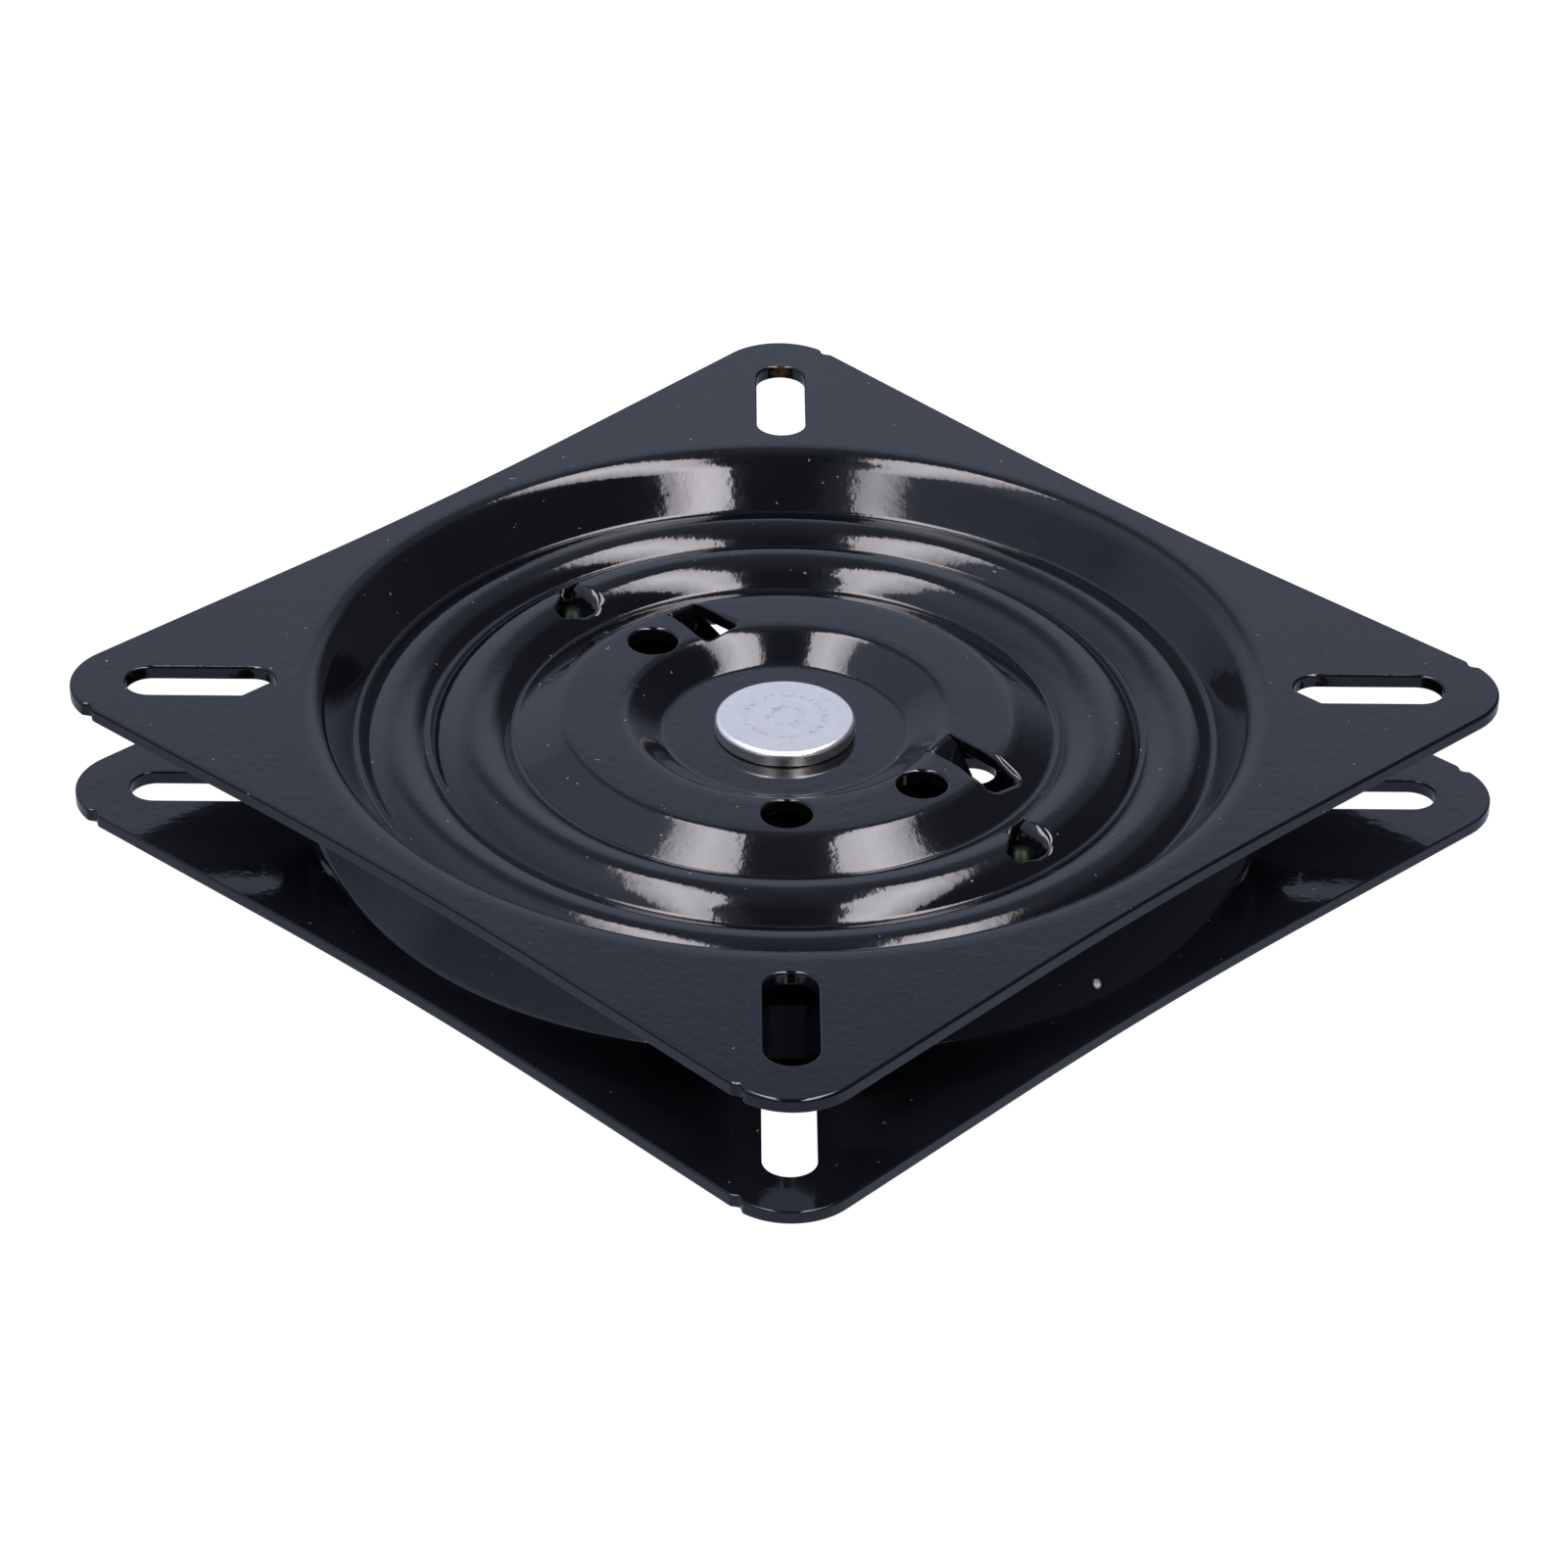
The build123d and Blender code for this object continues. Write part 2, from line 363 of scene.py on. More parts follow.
@dataclass(frozen=True)
class Rim:
    """A closed edge of the sheet in plan, walked with the metal on its left, and its rolled edge's radius."""

    points: Array
    roll: Array
    back_roll: float = 0.3

    @property
    def outward(self) -> Array:
        """Unit directions out of the metal: the walk's direction turned a quarter to the right.

        Returns:
            Rows of x and y, one for each point.
        """
        along = np.roll(self.points, -1, axis=0) - np.roll(self.points, 1, axis=0)
        along = along / np.hypot(*along.T)[:, None]
        return np.c_[along[:, 1], -along[:, 0]]

    def drawn_in(self, side: Side) -> Array:
        """The loop where the flat of a face ends and its rolled edge begins."""
        roll = self.roll[:, None] if side is Side.SHOW else self.back_roll
        return self.points - roll * self.outward


@dataclass(frozen=True)
class Lance:
    """An opening with a tongue at one end, bent down out of the sheet. Sizes in plan, in millimetres."""

    hinge: tuple[float, float]
    heading: float
    opening: float
    tongue: float
    drop_angle: float
    bend: float
    left: tuple[float, float]
    right: tuple[float, float]
    corner: float = 1.2
    tip_corner: float = 0.6
    gap: float = 0.3
    fine_roll: float = 0.35
    side_roll: float = 0.0
    end_roll: float = 0.0
    drawn_width: float = 0.0
    drawn_margin: float = 1.8
    fade_length: float = 2.5
    mesh_step: float = 0.4
    patch_behind: float = 1.2
    patch_ahead: float = 3.0
    patch_right: float = 1.6
    patch_left: float = 2.6

    @property
    def ahead(self) -> Array:
        """Unit direction from the hinge along the opening."""
        return np.array([math.cos(math.radians(self.heading)), math.sin(math.radians(self.heading))])

    @property
    def aside(self) -> Array:
        """Unit direction to the left of the opening."""
        return np.array([-self.ahead[1], self.ahead[0]])

    def local(self, points: Array) -> tuple[Array, Array]:
        """Distances of points from the hinge along the opening, and to the left of it."""
        away = points - np.array(self.hinge)
        return away @ self.ahead, away @ self.aside

    def lowering(self, points: Array) -> tuple[Array, Array]:
        """How far the bend lowers the tongue: an arc of the bend's radius, then a straight slope.

        Where the left side is drawn down with the tongue and not cut, the drop fades out to the left and past
        the tongue's tip in soft ramps.

        Args:
            points: rows of x and y.

        Returns:
            The drop at each point and the gradient of the height there, as rows of x and y.
        """
        along, across = self.local(points)
        angle = math.radians(self.drop_angle)
        bent = self.bend * math.sin(angle)
        reach = np.clip(along, 0.0, self.tongue + self.gap)
        on_arc = np.minimum(reach, bent)
        drop = self.bend - np.sqrt(self.bend**2 - on_arc**2) + (reach - on_arc) * math.tan(angle)
        slope = np.where(along < self.tongue + self.gap, on_arc / np.sqrt(self.bend**2 - on_arc**2), 0.0)
        mine = (across > self.gap / 2 - self.right[0]) & (along > 0)
        if self.drawn_width:
            t = np.clip((self.left[0] + self.drawn_margin - across) / self.drawn_width, 0.0, 1.0)
            share, fade = t * t * (3.0 - 2.0 * t), -6.0 * t * (1.0 - t) / self.drawn_width
            u = np.clip((self.tongue + self.fade_length - along) / self.fade_length, 0.0, 1.0)
            past, past_slope = u * u * (3.0 - 2.0 * u), -6.0 * u * (1.0 - u) / self.fade_length
            slope, drop = slope * past + drop * past_slope, drop * past
        else:
            mine &= (across < self.left[0] - self.gap / 2) & (along < self.tongue + self.gap)
            share, fade = np.ones_like(along), np.zeros_like(along)
        tilt = -(slope * share)[:, None] * self.ahead - (drop * fade)[:, None] * self.aside
        return np.where(mine, drop * share, 0.0), np.where(mine[:, None], tilt, 0.0)

    def grid(self) -> Array:
        """A fine grid of points over the tongue and a patch round it: hinge + s * ahead + c * aside.

        Returns:
            Rows of x and y.
        """
        along = np.arange(-self.patch_behind, self.tongue + self.patch_ahead, self.mesh_step)
        across = np.arange(-self.right[0] - self.patch_right, self.left[0] + self.patch_left, self.mesh_step)
        s, c = (part.ravel() for part in np.meshgrid(along, across))
        return np.array(self.hinge) + s[:, None] * self.ahead + c[:, None] * self.aside

    def covers(self, points: Array) -> Array:
        """Which points lie on the fine grid's patch or within a step of it.

        Args:
            points: rows of x and y.

        Returns:
            One truth value for each point.
        """
        along, across = self.local(points)
        step = self.mesh_step
        lengthwise = (along > -self.patch_behind - step) & (along < self.tongue + self.patch_ahead + step)
        to_right = across > -self.right[0] - self.patch_right - step
        return lengthwise & to_right & (across < self.left[0] + self.patch_left + step)

    def rim(self) -> Rim:
        """The opening's edge: out round the opening, back round the tongue, with the slits' ends rounded.

        Returns:
            The rim, its roll wider on the left side or at the far end where the sheet is drawn down.
        """
        far, corner, tip = self.opening - self.corner, self.corner, self.tongue - self.tip_corner
        left, right, slit = self.left, self.right, self.gap / 2
        flare = math.degrees(math.atan2(left[1] - left[0], far - self.tongue))
        taper = math.degrees(math.atan2(right[0] - right[1], far - self.tongue))
        if self.drawn_width:
            near = [arc((self.tongue + corner, left[0] - corner), corner, 180, -90)]
            close = []
        else:
            near = [arc((0.0, left[0] - slit), slit, 270, -180, 30)]
            close = [arc((tip, left[0] - self.gap - self.tip_corner), self.tip_corner, 0, 90)]
        path = np.vstack([
            *near,
            arc((far, left[1] - corner), corner, 90 + flare, -90 - flare),
            arc((far, corner - right[1]), corner, 0, taper - 90),
            [[self.tongue, -right[0]]],
            arc((0.0, slit - right[0]), slit, 270, -180, 30),
            arc((tip, self.tip_corner + self.gap - right[0]), self.tip_corner, 270, 90),
            *close,
        ])
        path = evened(path, 10.0, 0.5)
        along, across = path.T
        outer = (along > self.tongue + slit) | (across > left[0] - slit) | (across < slit - right[0])
        beside = smooth_step((across / left[0] - 0.3) / 0.6)
        beside = beside * smooth_step((0.9 - along / self.opening) / 0.35)
        end = smooth_step((along - 0.45 * self.opening) / (0.4 * self.opening))
        roll = self.fine_roll + np.where(outer, np.maximum(self.side_roll * beside, self.end_roll * end), 0.0)
        return Rim(np.array(self.hinge) + along[:, None] * self.ahead + across[:, None] * self.aside, roll)


@dataclass(frozen=True)
class Blank:
    """Outline of a plate: a square with rounded corners, drawn-in sides, shearing nicks and bolt slots."""

    side: float = 178.0
    bow: float = 2.3
    bow_blend: float = 35.0
    corner_radius: float = 12.0
    nick_depth: float = 0.75
    nick_half_width: float = 1.6
    slot_inset: float = 19.15
    slot_length: float = 25.5
    slot_width: float = 8.8
    edge_roll: float = 0.5

    def outline(self) -> Rim:
        """The blank's edge: a shallow arc, a straight and a corner arc, turned four times by a quarter.

        Returns:
            The rim, walked against the clock.
        """
        half = self.side / 2
        straight = half - self.corner_radius
        slope = math.atan(self.bow / (straight - self.bow_blend / 2))
        waist = half - math.tan(slope) * straight
        blend = self.bow_blend / math.sin(slope)
        hub = (waist * math.cos(slope) - self.corner_radius) / (math.cos(slope) - math.sin(slope))
        turn = math.degrees(slope)
        stretch = np.vstack([
            arc((waist + blend / math.cos(slope), 0.0), blend, 180 + turn, -2 * turn, turn / 20),
            arc((hub, hub), self.corner_radius, -turn, 90 + 2 * turn, 1.0),
        ])
        quarter = np.array([[0.0, 1.0], [-1.0, 0.0]])
        path = np.vstack([stretch @ np.linalg.matrix_power(quarter, k) for k in range(4)])
        path = evened(path, 1.0, 0.2)
        spots = np.array([[x, y] for x in (-half, half) for y in (-straight, straight)])
        away = np.hypot(*(path[:, None, :] - spots).transpose(2, 0, 1)).min(1)
        dent = self.nick_depth * np.cos(np.clip(away / self.nick_half_width, 0, 1) * np.pi / 2) ** 2
        path[:, 0] -= np.sign(path[:, 0]) * dent
        path = evened(path, 7.0, 1.6)
        return Rim(path, np.full(len(path), self.edge_roll))

    def slots(self) -> list[Rim]:
        """The bolt slots: two half circles joined by straights, one along each diagonal.

        Returns:
            The four rims.
        """
        radius, reach = self.slot_width / 2, (self.side / 2 - self.slot_inset) * math.sqrt(2)
        run = self.slot_length / 2 - radius
        far, near = arc((reach + run, 0.0), radius, 90, -180), arc((reach - run, 0.0), radius, 270, -180)
        path = np.vstack([far, near])
        return [hole(turned(path, 45 + 90 * k), 0.4) for k in range(4)]


def turned(points: Array, angle: float) -> Array:
    """Points turned about the axis by an angle in degrees."""
    a = math.radians(angle)
    return points @ np.array([[math.cos(a), math.sin(a)], [-math.sin(a), math.cos(a)]])


def hole(path: Array, roll: float) -> Rim:
    """A plain cut-out from a dense path walked with the clock, with a rolled edge of one radius."""
    points = evened(path, 8.0, 0.9)
    return Rim(points, np.full(len(points), roll))


def round_hole(x: float, y: float, radius: float, roll: float) -> Rim:
    """A round hole about a point of the plate."""
    return hole(arc((x, y), radius, 0, -360), roll)


def box_hole(x: float, y: float, width: float, length: float, corner: float, roll: float) -> Rim:
    """A hole with straight sides and rounded corners about a point of the plate.

    Args:
        x: the point's place along the plate's x axis.
        y: its place along the y axis.
        width: size along x.
        length: size along y.
        corner: radius of the corners.
        roll: radius of the rolled edge.

    Returns:
        The rim.
    """
    u, v = width / 2 - corner, length / 2 - corner
    path = np.vstack([
        arc((x + u, y + v), corner, 90, -90),
        arc((x + u, y - v), corner, 0, -90),
        arc((x - u, y - v), corner, 270, -90),
        arc((x - u, y + v), corner, 180, -90),
    ])
    return hole(path, roll)


@dataclass
class PressedPlate:
    """One pressed plate: the section's height over the plan, inside its rims, with rolled edges all round."""

    name: str
    body: str
    place: Array
    origin: Array
    bore_radius: float
    section: DishSection = field(default_factory=DishSection)
    blank: Blank = field(default_factory=Blank)
    cut_outs: list[Rim] = field(default_factory=list)
    lances: list[Lance] = field(default_factory=list)
    spokes: int = 276
    ring_turn: float = 6.0
    ring_stride: float = 2.6
    bore_margin: float = 0.8
    dish_margin: float = 4.0
    flange_start: float = 3.0
    flange_stride: float = 5.0
    rim_clearance: float = 0.25
    block: int = 4000
    roll_steps: int = 5

    def __post_init__(self) -> None:
        """Works out the section's faces and gathers the rims."""
        self.show, self.back = self.section.faces()
        bore = round_hole(0.0, 0.0, self.bore_radius, 0.3)
        self.rims = [self.blank.outline(), bore, *self.blank.slots(), *self.cut_outs]
        self.rims += [lance.rim() for lance in self.lances]

    def surface(self, points: Array, side: Side) -> tuple[Array, Array]:
        """A face of the sheet over the plan: height by distance from the axis, less the tongues' drop.

        Args:
            points: rows of x and y.
            side: which face.

        Returns:
            The points with their heights and the normals out of that face.
        """
        reach = np.maximum(np.hypot(*points.T), 1e-6)
        profile = self.show if side is Side.SHOW else self.back
        height, slope = profile.at(reach)
        gradient = (slope / reach)[:, None] * points
        for lance in self.lances:
            drop, tip = lance.lowering(points)
            height = height - drop
            gradient = gradient + tip
        normals = np.c_[-gradient, np.ones(len(points))]
        normals /= np.linalg.norm(normals, axis=1, keepdims=True)
        return np.c_[points, height], normals if side is Side.SHOW else -normals

    def net(self, side: Side) -> tuple[Array, Array, list[Array]]:
        """Triangles of a face in plan: rings of points and drawn-in rims, joined so that no rim is crossed.

        Args:
            side: which face.

        Returns:
            The points in plan, the triangles, and each rim's point numbers.
        """
        loops = [rim.drawn_in(side) for rim in self.rims]
        profile = self.show if side is Side.SHOW else self.back
        dish_edge = self.section.lip_radius + self.dish_margin
        dish_start = self.bore_radius + self.bore_margin
        inner = profile.rings(dish_start, dish_edge, self.ring_turn, self.ring_stride)
        angles = np.linspace(0, 2 * np.pi, self.spokes, endpoint=False)
        dish = (inner[:, None, None] * np.c_[np.cos(angles), np.sin(angles)]).reshape(-1, 2)
        outer = np.arange(dish_edge + self.flange_start, self.blank.side * 0.7, self.flange_stride)
        flange = (outer[:, None, None] * np.c_[np.cos(angles[::3]), np.sin(angles[::3])]).reshape(-1, 2)
        fine = [lance.grid() for lance in self.lances]
        coarse = np.vstack([dish, flange])
        for lance in self.lances:
            coarse = coarse[~lance.covers(coarse)]
        field_points = np.vstack([coarse, *fine])
        keep = enclosed(field_points, loops[0])
        for loop in loops[1:]:
            keep &= ~enclosed(field_points, loop)
        for loop in loops:
            boxed = np.all((field_points > loop.min(0) - 1) & (field_points < loop.max(0) + 1), axis=1)
            near = np.flatnonzero(keep & boxed)
            for block in np.array_split(near, max(1, len(near) // self.block)):
                gaps = np.hypot(*(field_points[block, None, :] - loop).transpose(2, 0, 1))
                keep[block] &= gaps.min(1) > self.rim_clearance
        field_points = field_points[keep]
        plan = np.vstack([*loops, field_points])
        starts = np.cumsum([0, *map(len, loops)])
        rings = [np.arange(a, b) for a, b in zip(starts, starts[1:])]
        sides = np.vstack([np.c_[ring, np.roll(ring, -1)] for ring in rings])
        found = delaunay_2d_cdt(plan.tolist(), sides.tolist(), [], 0, 1e-7)
        corners, triangles, sources = np.array(found[0]), np.array(found[2]), found[3]
        shares = np.fromiter(map(len, sources), int, len(sources))
        given = np.fromiter(chain.from_iterable(sources), int, shares.sum())
        number = np.full(len(plan), -1)
        number[given] = np.repeat(np.arange(len(sources)), shares)
        corners[number[number >= 0]] = plan[number >= 0]
        middles = corners[triangles].mean(1)
        metal = enclosed(middles, loops[0])
        for loop in loops[1:]:
            metal &= ~enclosed(middles, loop)
        return corners, triangles[metal], [number[ring] for ring in rings]

    def build(self) -> bpy.types.Object:
        """Both faces and, along each rim, a quarter-round roll, a wall and a small roll at the back.

        Returns:
            The plate as one closed mesh.
        """
        shell = Shell()
        rings: dict[Side, list[Array]] = {}
        for side in Side:
            plan, triangles, loops = self.net(side)
            numbers = shell.add_points(*self.surface(plan, side))
            shell.faces.append(numbers[triangles if side is Side.SHOW else triangles[:, ::-1]])
            rings[side] = [numbers[loop] for loop in loops]
        for rim, upper, lower in zip(self.rims, rings[Side.SHOW], rings[Side.BACK]):
            self.edge(shell, rim, upper, lower)
        LOG.info("%s: %d points", self.name, shell.count)
        return shell.make(self.name, self.place, self.origin)

    def edge(self, shell: Shell, rim: Rim, upper: Array, lower: Array) -> None:
        """Closes one rim: a roll leaves each face level and ends upright at the wall, like a quarter circle.

        Args:
            shell: the mesh in the making.
            rim: the rim to close.
            upper: point numbers of its loop on the show face.
            lower: point numbers of its loop on the back face.
        """
        outward = rim.outward
        level = np.c_[outward, np.zeros(len(outward))]
        previous = upper
        turns = np.linspace(0, np.pi / 2, self.roll_steps + 1)[1:]
        rolls = [(Side.SHOW, rim.roll, turn) for turn in turns]
        rolls += [(Side.BACK, np.full(len(outward), rim.back_roll), turn) for turn in turns[::-1]]
        for side, radius, turn in rolls:
            plan = rim.points - (radius * (1 - math.sin(turn)))[:, None] * outward
            points, normals = self.surface(plan, side)
            fall = radius * (1 - math.cos(turn))
            points[:, 2] += -fall if side is Side.SHOW else fall
            ring = shell.add_points(points, math.cos(turn) * normals + math.sin(turn) * level)
            shell.add_band(previous, ring)
            previous = ring
        shell.add_band(previous, lower)

    def dress(self, piece: bpy.types.Object, paint: bpy.types.Material) -> None:
        """Paints the plate, sets it on its body and lets it stand for its solid.

        Args:
            piece: the built plate.
            paint: its finish.
        """
        piece.data.materials.append(paint)
        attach(piece, self.body)
        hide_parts(self.name.removesuffix("_sheet"))


@dataclass
class CentreRivet:
    """The rivet: a flat head over the top plate's well, a shank and an upset tail. Millimetres."""

    name: str = "centre_rivet_turned"
    head_radius: float = 12.0
    head_top: float = 17.4
    head_seat: float = 14.72
    head_round: float = 0.9
    head_foot_round: float = 0.35
    shank_radius: float = 6.0
    tail_radius: float = 9.0
    tail_seat: float = 9.0
    tail_bottom: float = 6.8
    tail_round: float = 1.2
    fine_round: float = 0.25
    segments: int = 192

    def profile(self) -> Array:
        """Half section from the tail's middle to the head's middle, with every corner an arc.

        Returns:
            Rows of radius and height.
        """
        fine, foot = self.fine_round, self.head_foot_round
        head, tail = self.head_radius, self.tail_radius
        return np.vstack([
            [[0.0, self.tail_bottom], [3.0, self.tail_bottom]],
            arc((tail - self.tail_round, self.tail_bottom + self.tail_round), self.tail_round, -90, 90, 12),
            arc((tail - fine, self.tail_seat - fine), fine, 0, 90, 20),
            arc((self.shank_radius + fine, self.tail_seat + fine), fine, 270, -90, 30),
            arc((self.shank_radius + fine, self.head_seat - fine), fine, 180, -90, 30),
            arc((head - foot, self.head_seat + foot), foot, -90, 90, 12),
            arc((head - self.head_round, self.head_top - self.head_round), self.head_round, 0, 90, 9),
            [[8.0, self.head_top], [4.0, self.head_top], [0.0, self.head_top]],
        ])

    def build(self) -> bpy.types.Object:
        """The half section carried round the axis: radius * (cos a, sin a) at each height.

        Returns:
            The rivet as one closed mesh.
        """
        half = self.profile()
        run = np.gradient(half, axis=0)
        run[[0, -1]] = [[1.0, 0.0], [-1.0, 0.0]]
        angles = np.linspace(0, 2 * np.pi, self.segments, endpoint=False)
        ray = np.c_[np.cos(angles), np.sin(angles), np.zeros(self.segments)]
        axis = np.array([0.0, 0.0, 1.0])
        radius, height = half[1:-1].T[:, :, None, None]
        out, up = run[1:-1].T[:, :, None, None]
        shell = Shell()
        points, normals = radius * ray + height * axis, up * ray - out * axis
        numbers = shell.add_points(points.reshape(-1, 3), normals.reshape(-1, 3))
        rings = numbers.reshape(-1, self.segments)
        lower, upper = rings[:-1], rings[1:]
        bands = np.stack([upper, lower, np.roll(lower, -1, axis=1), np.roll(upper, -1, axis=1)], axis=2)
        shell.faces.append(bands.reshape(-1, 4))
        for ring, height, way in ((rings[0], half[0, 1], -1.0), (rings[-1], half[-1, 1], 1.0)):
            pole = shell.add_points(np.array([[0.0, 0.0, height]]), np.array([[0.0, 0.0, way]]))
            fan = np.c_[ring, np.roll(ring, -1), np.full(len(ring), pole[0])]
            shell.faces.append(fan if way > 0 else fan[:, ::-1])
        LOG.info("%s: %d points", self.name, shell.count)
        return shell.make(self.name, np.eye(3), np.zeros(3))

    def dress(self, piece: bpy.types.Object, zinc: bpy.types.Material) -> None:
        """Plates the rivet, sets it on its body and lets it stand for its solid.

        Args:
            piece: the built rivet.
            zinc: its finish.
        """
        piece.data.materials.append(zinc)
        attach(piece, "base")
        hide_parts("centre_rivet")


class Join(Enum):
    """Ways to join two values in a node."""

    PRODUCT = "MULTIPLY"
    LARGER = "MAXIMUM"


class Ease(Enum):
    """How a value runs from one end of a range to the other."""

    STRAIGHT = "LINEAR"
    SOFT = "SMOOTHSTEP"


def grey(level: float) -> Colour:
    """A grey of one level."""
    return (level, level, level)


@dataclass
class NodeBench:
    """Short hand for laying out the nodes and links of one material or of the surround."""

    owner: bpy.types.Material | bpy.types.World

    def __post_init__(self) -> None:
        """Turns nodes on and finds the surface shader, which the surround lacks."""
        self.owner.use_nodes = True
        self.tree = self.owner.node_tree
        self.shader = self.tree.nodes.get("Principled BSDF")

    def node(self, kind: str, **settings: object) -> bpy.types.Node:
        """A new node with its settings.

        Args:
            kind: the node's type.
            settings: its attributes by name.

        Returns:
            The node.
        """
        made = self.tree.nodes.new(kind)
        for key, value in settings.items():
            setattr(made, key, value)
        return made

    def wire(self, source: Socket, target: Socket) -> None:
        """Links two sockets."""
        self.tree.links.new(source, target)

    def place(self) -> Socket:
        """Points of the piece in its own coordinates."""
        return self.node("ShaderNodeTexCoord").outputs["Object"]

    def noise(self, where: Socket, scale: float, detail: float) -> Socket:
        """Cloudy noise over the piece.

        Args:
            where: points of the piece.
            scale: waves per metre.
            detail: number of finer layers.

        Returns:
            The noise's value.
        """
        made = self.node("ShaderNodeTexNoise")
        made.inputs["Scale"].default_value = scale
        made.inputs["Detail"].default_value = detail
        self.wire(where, made.inputs["Vector"])
        return made.outputs["Fac"]

    def ramp(self, value: Socket, span: Span, start: Colour, end: Colour) -> Socket:
        """Colours a value between two ends.

        Args:
            value: the value.
            span: the values at which the ends lie.
            start: colour at the lower end.
            end: colour at the upper end.

        Returns:
            The colour.
        """
        made = self.node("ShaderNodeValToRGB")
        first, last = made.color_ramp.elements
        first.position, first.color = span[0], (*start, 1.0)
        last.position, last.color = span[1], (*end, 1.0)
        self.wire(value, made.inputs["Fac"])
        return made.outputs["Color"]

    def mask(self, value: Socket, span: Span, top: float = 1.0) -> Socket:
        """A share from nothing to a top level as a value crosses a span."""
        return self.ramp(value, span, grey(0.0), grey(top))

    def remap(
        self, value: Socket, source: Span, target: Span = (0.0, 1.0), ease: Ease = Ease.STRAIGHT
    ) -> Socket:
        """Carries a value from one range to another and holds it there.

        Args:
            value: the value.
            source: range that it comes from.
            target: range that it goes to.
            ease: straight or soft at the ends.

        Returns:
            The new value.
        """
        made = self.node("ShaderNodeMapRange", interpolation_type=ease.value)
        made.inputs["From Min"].default_value, made.inputs["From Max"].default_value = source
        made.inputs["To Min"].default_value, made.inputs["To Max"].default_value = target
        self.wire(value, made.inputs["Value"])
        return made.outputs["Result"]

    def spot(self, where: Socket, centre: Point, inner: float, outer: float) -> Socket:
        """One at a point of the piece, falling to nothing between two distances.

        Args:
            where: points of the piece.
            centre: the spot's middle.
            inner: distance up to which the value is one.
            outer: distance from which it is nothing.

        Returns:
            The value.
        """
        away = self.node("ShaderNodeVectorMath", operation="DISTANCE")
        away.inputs[1].default_value = centre
        self.wire(where, away.inputs[0])
        return self.remap(away.outputs["Value"], (inner, outer), (1.0, 0.0))

    def combine(self, how: Join, first: Socket, second: Socket) -> Socket:
        """Joins two values.

        Args:
            how: the way to join them.
            first: one value.
            second: the other.

        Returns:
            The joined value.
        """
        made = self.node("ShaderNodeMath", operation=how.value)
        self.wire(first, made.inputs[0])
        self.wire(second, made.inputs[1])
        return made.outputs["Value"]

    def blend(self, share: Socket, base: Socket, colour: Colour) -> Socket:
        """Lays a colour over another.

        Args:
            share: how much of the new colour shows.
            base: the colour below.
            colour: the colour on top.

        Returns:
            The blended colour.
        """
        made = self.node("ShaderNodeMix", data_type="RGBA")
        self.wire(share, made.inputs["Factor"])
        self.wire(base, made.inputs["A"])
        made.inputs["B"].default_value = (*colour, 1.0)
        return made.outputs["Result"]

    def bump(self, height: Socket, depth: float, under: Socket | None = None) -> Socket:
        """Fine relief of the surface.

        Args:
            height: the relief's value.
            depth: its depth in metres.
            under: normal of a coarser relief below it.

        Returns:
            The normal.
        """
        made = self.node("ShaderNodeBump")
        made.inputs["Strength"].default_value = 1.0
        made.inputs["Distance"].default_value = depth
        self.wire(height, made.inputs["Height"])
        if under is not None:
            self.wire(under, made.inputs["Normal"])
        return made.outputs["Normal"]


@dataclass(frozen=True)
class WornSpot:
    """A ragged spot where the paint is gone: its place and radius in metres and the colour that shows."""

    centre: Point
    radius: float
    colour: Colour
    solid_share: float = 0.4


@dataclass(frozen=True)
class BlackPaint:
    """Gloss black paint: near black under a clear skin with a slight orange peel, dust and worn spots."""

    name: str
    colour: Colour = (0.0017, 0.0019, 0.0027)
    thin_colour: Colour = (0.0026, 0.0028, 0.0037)
    dust_colour: Colour = (0.16, 0.15, 0.14)
    roughness: float = 0.06
    haze: float = 0.03
    peel_depth: float = 0.000020
    wave_depth: float = 0.000025
    worn: tuple[WornSpot, ...] = ()

    def make(self) -> bpy.types.Material:
        """Lays out the paint.

        Returns:
            The material.
        """
        bench = NodeBench(bpy.data.materials.new(self.name))
        where, inputs = bench.place(), bench.shader.inputs
        clouds = bench.noise(where, scale=45.0, detail=3.0)
        colour = bench.ramp(clouds, (0.35, 0.7), self.colour, self.thin_colour)
        specks = bench.noise(where, scale=900.0, detail=1.0)
        colour = bench.blend(bench.mask(specks, (0.79, 0.81)), colour, self.dust_colour)
        for spot in self.worn:
            ragged = bench.mask(bench.noise(where, scale=700.0, detail=3.0), (0.42, 0.55))
            near = bench.spot(where, spot.centre, spot.radius * spot.solid_share, spot.radius)
            colour = bench.blend(bench.combine(Join.PRODUCT, near, ragged), colour, spot.colour)
        bench.wire(colour, inputs["Base Color"])
        haze = bench.noise(where, scale=120.0, detail=4.0)
        sheen = bench.ramp(haze, (0.3, 0.7), grey(self.roughness), grey(self.roughness + self.haze))
        bench.wire(sheen, inputs["Roughness"])
        waves = bench.bump(bench.noise(where, scale=70.0, detail=1.0), self.wave_depth)
        peel = bench.bump(bench.noise(where, scale=620.0, detail=2.0), self.peel_depth, waves)
        bench.wire(peel, inputs["Normal"])
        inputs["IOR"].default_value = 1.5
        return bench.owner


